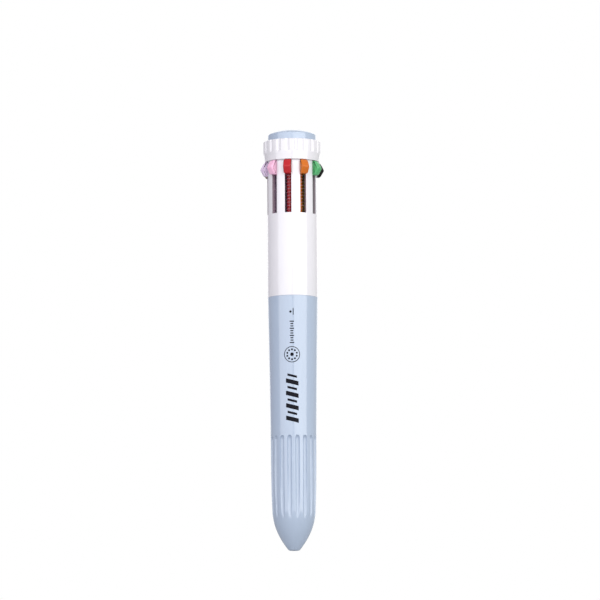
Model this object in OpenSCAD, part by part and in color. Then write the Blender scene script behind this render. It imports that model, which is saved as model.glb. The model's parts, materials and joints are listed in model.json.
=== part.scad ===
// Ten-colour click pen: a fluted grip with the nose, a slotted upper barrel, a crown ring and a domed
// end cap, and for each ink a slide with its button, a return spring and a refill.
// Millimetres. +Z runs along the pen from the nose to the cap. The origin is the centre of the nose's end.

/* [Overall] */
// Length from the nose's end to the top of the cap's dome
pen_length = 146.5; // [145.5:0.1:147.5]
// Outside diameter of the upper barrel
barrel_d = 17.4; // [17.3:0.1:18]
// Widest diameter of the crown ring
crown_d = 20; // [19.8:0.1:20.8]
// Diameter of the end cap's visible rim
cap_d = 16.8; // [16.2:0.1:17.2]

/* [Grip and nose] */
// Height of the line where the grip meets the upper barrel
joint_z = 87.8; // [87.2:0.1:88.2]
// Diameter of the grip at its flutes
grip_d = 15.9; // [15.9:0.1:16.4]
// Number of flutes round the grip
flute_count = 18; // [12:1:20]
// Height at which the flutes stop
flute_top_z = 39.4; // [30:0.2:50]
// Diameter of the nose's flat end
nose_end_d = 3.7; // [3.6:0.1:4.2]
// Diameter of the hole that the writing tip comes through
nose_hole_d = 2.7; // [2.6:0.1:2.8]

/* [Slides] */
// Width of each slot in the upper barrel
slot_w = 2.3; // [2.2:0.1:2.5]
// Height of the slots' lower end
slot_bottom_z = 116.7; // [115:0.1:117]
// Width of each button outside the barrel
button_w = 2.8; // [2.4:0.1:3]
// Distance from the pen's axis to a button's crest
button_reach = 11.1; // [10.6:0.1:11.6]
// How far a slide travels towards the nose
slide_travel = 12; // [10:0.5:12]

/* [Refills and springs] */
// Distance from the pen's axis to each slide's stem
stem_ring_r = 5.85; // [5.8:0.01:5.85]
// Distance from the pen's axis to each resting writing ball
ball_ring_r = 3.9; // [3.9:0.1:4.2]
// Height of the writing balls at rest
ball_rest_z = 9.8; // [9.6:0.1:10.4]
// Outside diameter of a refill tube
tube_d = 1.9; // [1.8:0.1:1.9]
// Diameter of the spring wire
wire_d = 0.3; // [0.2:0.05:0.3]
// Turns in each return spring
spring_turns = 27; // [18:1:29]

/* [Hidden] */
$fn = 64;

// Ink names and button colours, in order round the pen from the slot that faces front.
INK_NAMES = ["red", "orange", "green", "black", "yellow", "sky", "blue", "brown", "lilac", "pink"];
INK_COLOURS = [
  [0.80, 0.20, 0.21],
  [0.88, 0.49, 0.17],
  [0.38, 0.72, 0.45],
  [0.15, 0.17, 0.17],
  [0.98, 0.84, 0.16],
  [0.27, 0.63, 0.86],
  [0.06, 0.33, 0.66],
  [0.42, 0.22, 0.12],
  [0.74, 0.67, 0.82],
  [0.94, 0.62, 0.80],
];
FIXED_NODES = ["grip_barrel", "upper_barrel", "crown_ring", "end_cap", "guide_disc", "release_core"];
INK_PARTS = ["slide", "spring", "refill_tube", "refill_tip"];

PASTEL_BLUE = [0.74, 0.80, 0.90];
WARM_WHITE = [0.96, 0.95, 0.96];
DARK_GREY = [0.13, 0.12, 0.13];
inks = len(INK_NAMES);
ink_step = 360 / inks;
first_slot_turn = -99.5; // the red slot stands 9.5 degrees left of the front, which is -Y
flute_turn = -80;

clear = 0.1; // gap round parts that slide
fit = 0.05; // gap between parts that plug together
draft = 0.04; // how far a moulded wall tapers in along its length

// Barrel radii
barrel_r = barrel_d / 2;
barrel_bore_r = 7.3;
grip_r = grip_d / 2;
grip_bore_r = 6.5;
spigot_r = 7.6;
spigot_bore_r = 6.95;
spigot_bottom_z = joint_z - 8.6;

// Nose: a blunt ogive, r(z) = end + rise * (1 - (1 - z / height) ^ power)
nose_h = 15;
nose_power = 2.1;
shoulder_r = grip_r - 0.33;
nose_end_r = nose_end_d / 2;
nose_hole_r = nose_hole_d / 2;
nose_land_h = 0.5; // straight length of the nose hole
function nose_r(z) = nose_end_r + (shoulder_r - nose_end_r) * (1 - pow(1 - z / nose_h, nose_power));

// The grip widens slowly from grip_r to barrel_r below the joint, faster towards the top
swell_from = 34;
swell_to = joint_z - 0.6;
swell_power = 1.35;
function swell_r(z) =
  grip_r + (barrel_r - draft - grip_r) * pow((z - swell_from) / (swell_to - swell_from), swell_power);

// Flutes
flute_r = 0.8;
flute_floor_r = grip_r - 0.75;

// Crown ring and cap
crown_bottom_z = pen_length - 11.2;
crown_top_z = pen_length - 4;
crown_r = crown_d / 2;
crown_foot_r = crown_r - 0.45;
neck_r = 8.3; // the upper barrel's reduced end, inside the crown
neck_top_z = crown_top_z - 2.3;
crown_lip_r = 7.25;
crown_flutes = 2 * inks;
crown_flute_floor_r = crown_r - 0.45;
crown_flute_bottom_z = crown_bottom_z + 2.5;
cap_r = cap_d / 2;
cap_rim_top_z = pen_length - 1.6;
cap_spigot_r = crown_lip_r - fit;
cap_wall = 1.3;

// Guide disc: the springs stand on it and the stems run through it
disc_top_z = 100;
disc_h = 2;
disc_r = barrel_bore_r - fit;
ledge_h = 1.4;
ledge_r = 6.9;
stem_r = 0.85;
disc_hole_r = stem_r + 0.08;
core_r = 1.5;
core_pin_r = 1;

// Slides
slide_top_z = crown_bottom_z - clear;
button_bottom_z = slide_top_z - 5;
button_crest_z = slide_top_z - 2.65;
neck_w = slot_w - 2 * clear; // the part of a slide inside its slot
block_in_r = 4.7;
head_in_r = barrel_r + 0.15;
fin_in_r = 1.9;
fin_w = 0.8;
plug_r = 0.55;
plug_h = 2.6;
pivot_z = disc_top_z - disc_h - 1.8; // where a refill hangs on its stem
stem_bottom_z = pivot_z + plug_h / 2;

// Refills hang from the pivots and lean in towards the nose
drop = pivot_z - ball_rest_z;
lean = atan((stem_ring_r - ball_ring_r) / drop);
refill_length = sqrt(pow(drop, 2) + pow(stem_ring_r - ball_ring_r, 2));
tube_r = tube_d / 2;
tube_bore_r = 0.65;
tube_above_pivot = 1.2;
tip_h = 9; // from the tube's end to the ball
ball_r = 0.35;
ball_gap = 0.01;

// Springs: outer radius, and length at rest
spring_r = 1.3;
spring_h = button_bottom_z - disc_top_z;

// Copies its children round the pen, one for each slot
module round_pen(count, start) {
  for (i = [0 : count - 1]) rotate([0, 0, start + i * 360 / count]) children();
}

// Stands a profile drawn as (radius, height) upright, w thick, centred on the XZ plane
module upright(w) {
  rotate([90, 0, 0]) linear_extrude(height = w, center = true) children();
}

// A rectangle w by h with corner radius r, centred on x and standing on y = 0
module rounded_rect(w, h, r) {
  translate([-w / 2 + r, 0]) square([w - 2 * r, h]);
  translate([-w / 2, r]) square([w, h - 2 * r]);
  for (x = [-w / 2 + r, w / 2 - r], y = [r, h - r]) translate([x, y]) circle(r);
}

// A cutter for one flute: a round groove from z_low to z_high, with round ends
module flute_cutter(floor_r, r, z_low, z_high) {
  translate([floor_r + r, 0, z_low + r]) cylinder(r = r, h = z_high - z_low - 2 * r);
  for (z = [z_low + r, z_high - r]) translate([floor_r + r, 0, z]) sphere(r);
}

// The grip and nose in one moulding, open at the top, where the upper barrel's spigot plugs in
module grip_barrel() {
  outside = concat(
    [[nose_hole_r, 0], [nose_end_r - 0.25, 0], [nose_end_r - 0.07, 0.07]],
    [for (z = [0.25, 1.25, 2.5, 4, 5.5, 7, 8.5, 10, 11.5, 13]) [nose_r(z), z]],
    [[shoulder_r, nose_h], [grip_r - 0.12, 19.5], [grip_r - 0.04, 25], [grip_r, 30]],
    [for (i = [0 : 8]) let (z = swell_from + i * (swell_to - swell_from) / 8) [swell_r(z), z]],
    [[barrel_r, joint_z - 0.15], [barrel_r - 0.15, joint_z]]
  );
  socket_r = spigot_r + fit;
  bore = [for (z = [15, 11, 8, 6, 4.5, 3, 1.8, 0.9]) [min(grip_bore_r, nose_r(z - 0.9) - 0.45), z]];
  inside = concat(
    [[socket_r, joint_z], [socket_r, spigot_bottom_z - 0.5], [spigot_bore_r, spigot_bottom_z - 1.5]],
    [[grip_bore_r, 52]],
    bore,
    [[nose_hole_r, nose_land_h]]
  );
  color(PASTEL_BLUE) difference() {
    rotate_extrude() polygon(concat(outside, inside));
    round_pen(flute_count, flute_turn) flute_cutter(flute_floor_r, flute_r, 6, flute_top_z);
  }
}

// The slotted sleeve: a plug-in spigot below, a reduced neck above, and a ledge that holds the guide disc
module upper_barrel() {
  profile = [
    [spigot_bore_r, spigot_bottom_z], [spigot_r - 0.3, spigot_bottom_z], [spigot_r, spigot_bottom_z + 0.5],
    [spigot_r, joint_z], [barrel_r - 0.15, joint_z], [barrel_r, joint_z + 0.15],
    [barrel_r, slot_bottom_z - 0.2], [barrel_r - draft, crown_bottom_z], [neck_r, crown_bottom_z],
    [neck_r, neck_top_z],
    [barrel_bore_r, neck_top_z], [barrel_bore_r, disc_top_z - disc_h], [ledge_r, disc_top_z - disc_h],
    [ledge_r, disc_top_z - disc_h - ledge_h], [barrel_bore_r, disc_top_z - disc_h - ledge_h - 0.4],
    [barrel_bore_r, joint_z + 1], [spigot_bore_r, joint_z + 0.4],
  ];
  slot_h = neck_top_z - slot_bottom_z + 1;
  color(WARM_WHITE) difference() {
    rotate_extrude() polygon(profile);
    round_pen(inks, first_slot_turn)
      translate([block_in_r, -slot_w / 2, slot_bottom_z]) cube([barrel_r, slot_w, slot_h]);
  }
}

// The fluted ring that closes the slots' upper ends and stops the slides
module crown_ring() {
  profile = [
    [neck_r + fit, crown_bottom_z], [crown_foot_r - 0.25, crown_bottom_z],
    [crown_foot_r, crown_bottom_z + 0.25], [crown_r - 0.1, crown_bottom_z + 2.6],
    [crown_r, crown_bottom_z + 3.6], [crown_r, crown_top_z - 0.5],
    for (a = [30, 60]) [crown_r - 0.5 + 0.5 * cos(a), crown_top_z - 0.5 + 0.5 * sin(a)],
    [crown_r - 0.5, crown_top_z], [crown_lip_r, crown_top_z],
    [crown_lip_r, neck_top_z + fit], [neck_r + fit, neck_top_z + fit],
  ];
  color(WARM_WHITE) difference() {
    rotate_extrude() polygon(profile);
    round_pen(crown_flutes, first_slot_turn)
      flute_cutter(crown_flute_floor_r, 0.9, crown_flute_bottom_z, crown_top_z + 2);
  }
}

// The domed cap, a hollow plug pressed into the crown ring
module end_cap() {
  dome_h = pen_length - cap_rim_top_z;
  dome = [
    for (i = [1 : 8]) let (r = cap_r * (1 - i / 8)) [r, cap_rim_top_z + dome_h * (1 - pow(r / cap_r, 3))],
  ];
  spigot_bottom = crown_top_z - 4.4;
  profile = concat(
    [[cap_spigot_r - 1, spigot_bottom], [cap_spigot_r - 0.3, spigot_bottom]],
    [[cap_spigot_r, spigot_bottom + 0.4], [cap_spigot_r, crown_top_z]],
    [[cap_r - 0.15, crown_top_z], [cap_r, crown_top_z + 0.15], [cap_r, cap_rim_top_z - 0.1]],
    dome,
    [[0, pen_length - cap_wall], [cap_spigot_r - 2.6, pen_length - cap_wall - 0.15]],
    [[cap_spigot_r - 1, cap_rim_top_z - cap_wall]]
  );
  color(PASTEL_BLUE) rotate_extrude() polygon(profile);
}

// The disc under the springs, with a hole for each stem and one for the core's pin
module guide_disc() {
  color(DARK_GREY) difference() {
    translate([0, 0, disc_top_z - disc_h]) cylinder(r = disc_r, h = disc_h);
    translate([0, 0, disc_top_z - disc_h - 1]) cylinder(r = core_pin_r + fit, h = disc_h + 2);
    round_pen(inks, first_slot_turn)
      translate([stem_ring_r, 0, disc_top_z - disc_h - 1]) cylinder(r = disc_hole_r, h = disc_h + 2);
  }
}

// The fixed post that the slides' fins catch on and push each other off, with its top plate
module release_core() {
  plate_bottom_z = slide_top_z + 0.2;
  latch_z = slide_top_z - slide_travel - 1;
  profile = [
    [0, disc_top_z - disc_h + 0.2], [core_pin_r, disc_top_z - disc_h + 0.2], [core_pin_r, disc_top_z],
    [core_r, disc_top_z], [core_r, latch_z - 1.2], [fin_in_r - clear, latch_z - 0.4],
    [fin_in_r - clear, latch_z], [core_r, latch_z + 1.5], [core_r, plate_bottom_z],
    [disc_r, plate_bottom_z], [disc_r, plate_bottom_z + 1.4], [0, plate_bottom_z + 1.4],
  ];
  color(DARK_GREY) rotate_extrude() polygon(profile);
}

// A button's outline in (radius, height): a full upper slope, a small crest and a straight lower slope
module button_outline() {
  rise = slide_top_z - button_crest_z;
  reach = button_reach - head_in_r;
  // Each point of the upper slope as a share of the reach outwards and of the rise above the crest
  slope = [[0, 1], [0.31, 0.98], [0.49, 0.83], [0.69, 0.57], [0.87, 0.28], [0.97, 0.09], [1, 0]];
  polygon(concat(
    [[head_in_r, button_bottom_z]],
    [for (p = slope) [head_in_r + p[0] * reach, button_crest_z + p[1] * rise]],
    [[button_reach - 0.12, button_crest_z - 0.4], [head_in_r + 1, button_bottom_z]]
  ));
}

// One slide: the button, its neck in the slot, the inner fin, and the stem that the spring stands round
module slide(i) {
  slide_h = slide_top_z - button_bottom_z;
  fin_outline = [
    [fin_in_r, button_bottom_z + 1.6], [fin_in_r, slide_top_z - 1.4], [fin_in_r + 0.9, slide_top_z],
    [block_in_r + 0.5, slide_top_z], [block_in_r + 0.5, button_bottom_z], [fin_in_r + 1.4, button_bottom_z],
  ];
  color(INK_COLOURS[i]) rotate([0, 0, first_slot_turn + i * ink_step]) {
    intersection() {
      upright(button_w) button_outline();
      translate([head_in_r, 0, button_bottom_z]) rotate([90, 0, 90])
        linear_extrude(height = button_reach) rounded_rect(button_w, slide_h, 0.4);
    }
    translate([block_in_r, -neck_w / 2, button_bottom_z])
      cube([head_in_r + 0.3 - block_in_r, neck_w, slide_h]);
    upright(fin_w) polygon(fin_outline);
    translate([stem_ring_r, 0, stem_bottom_z]) cylinder(r = stem_r, h = button_bottom_z + 1 - stem_bottom_z);
    translate([stem_ring_r, 0, stem_bottom_z - plug_h]) cylinder(r = plug_r, h = plug_h + 1);
  }
}

// A return spring with ends ground flat: a bent slice of wire, swept up a screw
module return_spring(i) {
  r_mid = spring_r - wire_d / 2;
  tip_turn = 180 * wire_d / (spring_h / spring_turns); // half the angle that one slice of wire spans
  slice = [
    [spring_r - wire_d, -tip_turn / 2], [r_mid, -tip_turn], [spring_r, -tip_turn / 2],
    [spring_r, tip_turn / 2], [r_mid, tip_turn], [spring_r - wire_d, tip_turn / 2],
  ];
  color([0.72, 0.72, 0.74]) rotate([0, 0, first_slot_turn + i * ink_step])
    translate([stem_ring_r, 0, disc_top_z])
      linear_extrude(height = spring_h, twist = -360 * spring_turns, slices = 7 * spring_turns, $fn = 6)
        polygon([for (p = slice) p[0] * [cos(p[1]), sin(p[1])]]);
}

// Hangs its children, drawn downwards from the origin, on slide i's stem at the refill's resting lean
module on_stem(i) {
  rotate([0, 0, first_slot_turn + i * ink_step])
    translate([stem_ring_r, 0, pivot_z]) rotate([0, lean, 0]) children();
}

// The plastic ink tube of one refill
module refill_tube(i) {
  tube_h = refill_length - tip_h + tube_above_pivot;
  color([0.93, 0.93, 0.94]) on_stem(i) translate([0, 0, tube_above_pivot - tube_h]) difference() {
    cylinder(r = tube_r, h = tube_h);
    translate([0, 0, -1]) cylinder(r = tube_bore_r, h = tube_h + 2);
  }
}

// The metal writing point of one refill, pressed into its tube, and its ball
module refill_tip(i) {
  mouth = -refill_length + 0.13; // the ball stands this much proud of the mouth
  seat_r = ball_r + ball_gap;
  profile = [
    [0.16, mouth + 0.1], [0.33, mouth], [0.42, mouth + 0.06], [0.85, mouth + 3], [0.85, mouth + 4.4],
    [1.05, mouth + 5.6], [1.05, -refill_length + tip_h], [tube_bore_r - 0.01, -refill_length + tip_h],
    [tube_bore_r - 0.01, -refill_length + tip_h + 3.4], [0.35, -refill_length + tip_h + 3.6],
    [0.35, mouth + 3.4], [0.16, mouth + 2.8],
  ];
  color([0.78, 0.76, 0.70]) on_stem(i) {
    difference() {
      rotate_extrude() polygon(profile);
      translate([0, 0, -refill_length + ball_r]) sphere(seat_r);
    }
    translate([0, 0, -refill_length + ball_r]) sphere(ball_r);
  }
}

grip_barrel();
upper_barrel();
crown_ring();
end_cap();
guide_disc();
release_core();
for (i = [0 : inks - 1]) {
  slide(i);
  return_spring(i);
  refill_tube(i);
  refill_tip(i);
}
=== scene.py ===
"""Ten-colour click pen: the looks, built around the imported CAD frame.

Lengths in this script are millimetres until mm() or MM turns them into metres. The lights, the camera's
distance and the distances over which the floor fades are metres. Angles round the pen are in degrees from +X
towards +Y, so the front, -Y, is -90.
"""
import json
import math

import bmesh
import bpy
import numpy as np
from mathutils import Matrix, Vector


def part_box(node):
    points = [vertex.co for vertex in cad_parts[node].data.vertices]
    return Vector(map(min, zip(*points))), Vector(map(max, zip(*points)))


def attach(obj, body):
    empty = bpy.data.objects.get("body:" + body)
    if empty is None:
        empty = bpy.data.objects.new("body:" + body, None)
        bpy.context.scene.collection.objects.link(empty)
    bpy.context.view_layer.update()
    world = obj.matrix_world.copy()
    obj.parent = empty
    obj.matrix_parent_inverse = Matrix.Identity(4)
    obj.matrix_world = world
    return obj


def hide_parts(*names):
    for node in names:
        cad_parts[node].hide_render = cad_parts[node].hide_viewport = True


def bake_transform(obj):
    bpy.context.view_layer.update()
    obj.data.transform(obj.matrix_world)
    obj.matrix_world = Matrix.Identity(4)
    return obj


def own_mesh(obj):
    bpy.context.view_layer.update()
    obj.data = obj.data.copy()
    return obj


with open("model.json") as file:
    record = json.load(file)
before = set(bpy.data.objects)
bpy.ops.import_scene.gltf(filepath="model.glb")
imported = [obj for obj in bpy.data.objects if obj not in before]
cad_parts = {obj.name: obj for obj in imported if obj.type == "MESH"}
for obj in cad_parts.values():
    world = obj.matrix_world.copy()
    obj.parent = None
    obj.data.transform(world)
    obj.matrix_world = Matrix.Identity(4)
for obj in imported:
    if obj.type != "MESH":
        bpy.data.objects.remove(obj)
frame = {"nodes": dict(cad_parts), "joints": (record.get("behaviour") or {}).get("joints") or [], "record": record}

scene = bpy.context.scene
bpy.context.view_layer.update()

# ---------------------------------------------------------------------------------------- sizes, from the CAD

MM = 0.001
LOW, HIGH = 0, 1


def cad_height(node, end):
    """The height, in millimetres, of a CAD node's LOW or HIGH end."""
    return round(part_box(node)[end][2] / MM, 2)


JOINT_Z = cad_height("grip_barrel", HIGH)
SPIGOT_BOTTOM = cad_height("upper_barrel", LOW)
NECK_TOP = cad_height("upper_barrel", HIGH)
CROWN_BOTTOM = cad_height("crown_ring", LOW)
CROWN_TOP = cad_height("crown_ring", HIGH)
PEN_TOP = cad_height("end_cap", HIGH)
DISC_TOP = cad_height("guide_disc", HIGH)
SLIDE_TOP = cad_height("slide_red", HIGH)
BUTTON_BOTTOM = cad_height("spring_red", HIGH)

joints = {joint["name"]: joint for joint in frame["joints"]}
pivot_x, pivot_y, pivot_z = joints["refill_red_bend"]["pos_m"]
PIVOT_Z = round(pivot_z / MM, 2)
STEM_RING = round(math.hypot(pivot_x, pivot_y) / MM, 2)

# The inks in their order round the pen, and the barrel with its slots.
INKS = ["red", "orange", "green", "black", "yellow", "sky", "blue", "brown", "lilac", "pink"]
FIRST_SLOT = round(math.degrees(math.atan2(pivot_y, pivot_x)), 2)
STEP = 360.0 / len(INKS)
SLOT_W = 2.3
SLOT_BOTTOM = 116.7
SLOT_IN = 4.7
BARREL_R = frame["record"]["mounts"][0]["dims"]["r_mm"]
BORE_R = 7.3

# A slide's button, from its inner end to its crest, and the neck that runs in the slot.
HEAD_IN = 8.85
CREST_Z = 132.55
REACH = 11.1
BUTTON_W = 2.8
NECK_W = 2.1

# A refill hangs from its stem, leaning in to where its ball waits above the nose.
BALL_RING = 3.9
BALL_Z = 9.8
REFILL_L = math.hypot(PIVOT_Z - BALL_Z, STEM_RING - BALL_RING)
LEAN = math.atan2(STEM_RING - BALL_RING, PIVOT_Z - BALL_Z)


def mm(points):
    """Points in metres, from millimetres."""
    return np.asarray(points, float) * MM


def slot_turn(i):
    """The angle, in radians, of slot i."""
    return math.radians(FIRST_SLOT + i * STEP)


# ---------------------------------------------------------------------------------------- mesh helpers


def make_object(name, verts, faces, sharp=None):
    """A mesh object from points in millimetres. Edges above the angle sharp, in degrees, stay crisp."""
    mesh = bpy.data.meshes.new(name)
    mesh.from_pydata(mm(verts).tolist(), [], faces)
    mesh.validate()
    mesh.update()
    obj = bpy.data.objects.new(name, mesh)
    scene.collection.objects.link(obj)
    tidy_normals(obj)
    if sharp is None:
        mesh.shade_smooth()
    else:
        smooth_but_sharp(obj, sharp)
    return obj


def smooth_but_sharp(obj, angle):
    """Smooth shading that keeps edges above angle, in degrees, crisp."""
    obj.data.shade_smooth()
    obj.data.set_sharp_from_angle(angle=math.radians(angle))


def tidy_normals(obj):
    """Turns every face of a closed mesh outwards."""
    bm = bmesh.new()
    bm.from_mesh(obj.data)
    bmesh.ops.recalc_face_normals(bm, faces=bm.faces)
    bm.to_mesh(obj.data)
    bm.free()


def grid_faces(rows, cols, wrap_rows=False, wrap_cols=True, start=0):
    """Four-sided faces over a grid of points, numbered row by row from start.
    A direction that wraps closes on itself."""
    faces = []
    for i in range(rows if wrap_rows else rows - 1):
        a, b = i * cols, ((i + 1) % rows) * cols
        for j in range(cols if wrap_cols else cols - 1):
            k = (j + 1) % cols
            faces.append((start + a + j, start + a + k, start + b + k, start + b + j))
    return faces


def end_faces(rows, cols):
    """The two faces that close a tube of rows rings of cols points."""
    first = tuple(range(cols))
    last = tuple(reversed(range((rows - 1) * cols, rows * cols)))
    return [first, last]


def lathe(name, profile, turns=128, relief=None, angles=None, sharp=None):
    """Turns a closed (radius, height) loop round Z. A loop whose ends both lie on the axis gets two poles.
    relief(r, z, angles) changes the radii of each row that is marked with a third value, True."""
    theta = np.radians(angles) if angles is not None else np.arange(turns) * 2 * math.pi / turns
    poles = profile[0][0] == 0 and profile[-1][0] == 0
    rows = profile[1:-1] if poles else profile
    n = len(theta)
    verts = []
    for r, z, *relieved in rows:
        radii = np.full(n, float(r))
        if relieved:
            radii = relief(r, z, theta)
        verts += list(zip(radii * np.cos(theta), radii * np.sin(theta), np.full(n, float(z))))
    faces = grid_faces(len(rows), n, wrap_rows=not poles)
    if poles:
        first, last = len(verts), len(verts) + 1
        verts += [(0, 0, profile[0][1]), (0, 0, profile[-1][1])]
        end = (len(rows) - 1) * n
        faces += [(first, (j + 1) % n, j) for j in range(n)]
        faces += [(last, end + j, end + (j + 1) % n) for j in range(n)]
    return make_object(name, verts, faces, sharp)


def smooth_curve(knots, z):
    """A smooth curve through (z, value) knots that never overshoots them."""
    x = np.array([k[0] for k in knots], float)
    y = np.array([k[1] for k in knots], float)
    h, d = np.diff(x), np.diff(y) / np.diff(x)
    m = np.zeros(len(x))
    m[0], m[-1] = d[0], d[-1]
    for i in range(1, len(x) - 1):
        if d[i - 1] * d[i] > 0:
            a, b = 2 * h[i] + h[i - 1], h[i] + 2 * h[i - 1]
            m[i] = (a + b) / (a / d[i - 1] + b / d[i])
    z = np.clip(z, x[0], x[-1])
    i = np.clip(np.searchsorted(x, z) - 1, 0, len(h) - 1)
    t = (z - x[i]) / h[i]
    return (
        (1 + 2 * t) * (1 - t) ** 2 * y[i] + t * (1 - t) ** 2 * h[i] * m[i]
        + t * t * (3 - 2 * t) * y[i + 1] + t * t * (t - 1) * h[i] * m[i + 1]
    )


def soft_min(a, b, k):
    """The smaller of a and b, blended over about k where they cross."""
    return (a + b - np.sqrt((a - b) ** 2 + k * k)) / 2


def arc(cx, cy, r, start, end, steps):
    """Points along an arc, angles in degrees."""
    return [
        (cx + r * math.cos(math.radians(a)), cy + r * math.sin(math.radians(a)))
        for a in np.linspace(start, end, steps)
    ]


def baked(obj):
    """The same object with its modifiers applied."""
    graph = bpy.context.evaluated_depsgraph_get()
    graph.update()
    mesh = bpy.data.meshes.new_from_object(obj.evaluated_get(graph))
    obj.modifiers.clear()
    obj.data = mesh
    return obj


def add_bevel(obj, width, segments, angle):
    """A bevel modifier, width in millimetres, on edges sharper than angle, in degrees."""
    mod = obj.modifiers.new("edges", "BEVEL")
    mod.width, mod.segments, mod.limit_method = width * MM, segments, "ANGLE"
    mod.angle_limit = math.radians(angle)


def boolean(obj, other, operation):
    """Cuts or unites two closed meshes, a thousand times larger, where rounding is small."""
    for o in (obj, other):
        o.data.transform(Matrix.Scale(1 / MM, 4))
        o.data.update()
    mod = obj.modifiers.new("cut", "BOOLEAN")
    mod.operation, mod.object, mod.solver = operation, other, "MANIFOLD"
    baked(obj)
    obj.data.transform(Matrix.Scale(MM, 4))
    bpy.data.objects.remove(other)


def box_object(name, low, high):
    """A box between two corners."""
    x0, y0, z0 = low
    x1, y1, z1 = high
    verts = [(x, y, z) for z in (z0, z1) for y in (y0, y1) for x in (x0, x1)]
    faces = [(0, 1, 3, 2), (4, 6, 7, 5), (0, 4, 5, 1), (2, 3, 7, 6), (0, 2, 6, 4), (1, 5, 7, 3)]
    return make_object(name, verts, faces)


def linked(name, data):
    """A new object in the scene for a mesh, a light or a camera."""
    obj = bpy.data.objects.new(name, data)
    scene.collection.objects.link(obj)
    return obj


def join(name, objs):
    """One object from several, which are removed."""
    bm = bmesh.new()
    for o in objs:
        bm.from_mesh(o.data)
    mesh = bpy.data.meshes.new(name)
    bm.to_mesh(mesh)
    bm.free()
    remove(objs)
    return linked(name, mesh)


def remove(objs):
    """Deletes the objects that others were copied or cut from."""
    for o in objs:
        bpy.data.objects.remove(o)


def copy_turned(source, name, turn):
    """A copy of source's mesh, turned about Z."""
    mesh = source.data.copy()
    mesh.name = name
    mesh.transform(Matrix.Rotation(turn, 4, "Z"))
    return linked(name, mesh)


def to_stem_ring(obj):
    """Moves a mesh, drawn about the Z axis, out to the ring of stems in the local +X direction."""
    obj.data.transform(Matrix.Translation((STEM_RING * MM, 0, 0)))


# ---------------------------------------------------------------------------------------- materials


def srgb(r, g, b):
    """A linear colour from 0 to 255 screen values."""
    return [((c / 255 + 0.055) / 1.055) ** 2.4 if c > 10 else c / 255 / 12.92 for c in (r, g, b)] + [1.0]


def scaled(color, factor):
    """A colour, factor times as bright."""
    return [c * factor for c in color[:3]] + [1.0]


class Nodes:
    """A short way to build a material's node tree.
    A value may be a number, a vector, a colour or another node's output."""

    SOCKETS = {
        "color": "Base Color", "rough": "Roughness", "metal": "Metallic", "normal": "Normal", "ior": "IOR",
        "sss": "Subsurface Weight", "sss_scale": "Subsurface Scale", "sss_radius": "Subsurface Radius",
        "coat": "Coat Weight", "coat_rough": "Coat Roughness", "specular": "Specular IOR Level",
    }

    def __init__(self, name):
        self.material = bpy.data.materials.new(name)
        self.material.use_nodes = True
        self.tree = self.material.node_tree
        self.bsdf = self.tree.nodes["Principled BSDF"]
        self.coords = self.tree.nodes.new("ShaderNodeTexCoord").outputs["Object"]

    def add(self, kind, **settings):
        """A new node of this kind."""
        node = self.tree.nodes.new("ShaderNode" + kind)
        for key, value in settings.items():
            setattr(node, key, value)
        return node

    def link(self, a, b):
        """Links output a to input b."""
        self.tree.links.new(a, b)

    def fill(self, socket, value):
        """Gives an input its value, by a link if it comes from another node."""
        if isinstance(value, bpy.types.NodeSocket):
            self.link(value, socket)
        else:
            socket.default_value = value

    def noise(self, scale, detail=3.0, rough=0.55, stretch=None):
        """Noise, optionally with its coordinates scaled by the three numbers in stretch."""
        node = self.add("TexNoise")
        node.inputs["Scale"].default_value = scale
        node.inputs["Detail"].default_value = detail
        node.inputs["Roughness"].default_value = rough
        source = self.coords
        if stretch is not None:
            mapping = self.add("Mapping")
            mapping.inputs["Scale"].default_value = stretch
            self.link(self.coords, mapping.inputs["Vector"])
            source = mapping.outputs["Vector"]
        self.link(source, node.inputs["Vector"])
        return node.outputs["Fac"]

    def ranged(self, value, low, high, from_low=0.3, from_high=0.7):
        """value, with its range from from_low to from_high spread over low to high and cut off there."""
        node = self.add("MapRange")
        node.inputs["From Min"].default_value = from_low
        node.inputs["From Max"].default_value = from_high
        node.inputs["To Min"].default_value = low
        node.inputs["To Max"].default_value = high
        self.link(value, node.inputs["Value"])
        return node.outputs["Result"]

    def mix(self, factor, a, b):
        """Colour a where factor is 0 and colour b where it is 1."""
        node = self.add("Mix", data_type="RGBA")
        for index, value in ((0, factor), (6, a), (7, b)):
            self.fill(node.inputs[index], value)
        return node.outputs[2]

    def math(self, operation, a, b=0.0):
        """A sum or another operation on two numbers, or on one."""
        node = self.add("Math", operation=operation)
        self.fill(node.inputs[0], a)
        self.fill(node.inputs[1], b)
        return node.outputs["Value"]

    def vector(self, operation, a, b, output):
        """An operation on two vectors."""
        node = self.add("VectorMath", operation=operation)
        self.fill(node.inputs[0], a)
        self.fill(node.inputs[1], b)
        return node.outputs[output]

    def height(self):
        """The height above the pen's point, in metres."""
        split = self.add("SeparateXYZ")
        self.link(self.coords, split.inputs["Vector"])
        return split.outputs["Z"]

    def bump(self, height, strength, distance, normal=None):
        """A normal roughened by height, on top of another normal if there is one."""
        node = self.add("Bump")
        node.inputs["Strength"].default_value = strength
        node.inputs["Distance"].default_value = distance
        self.link(height, node.inputs["Height"])
        if normal is not None:
            self.link(normal, node.inputs["Normal"])
        return node.outputs["Normal"]

    def set(self, **values):
        """Fills the main shader's inputs."""
        for key, value in values.items():
            self.fill(self.bsdf.inputs[self.SOCKETS[key]], value)


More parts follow.
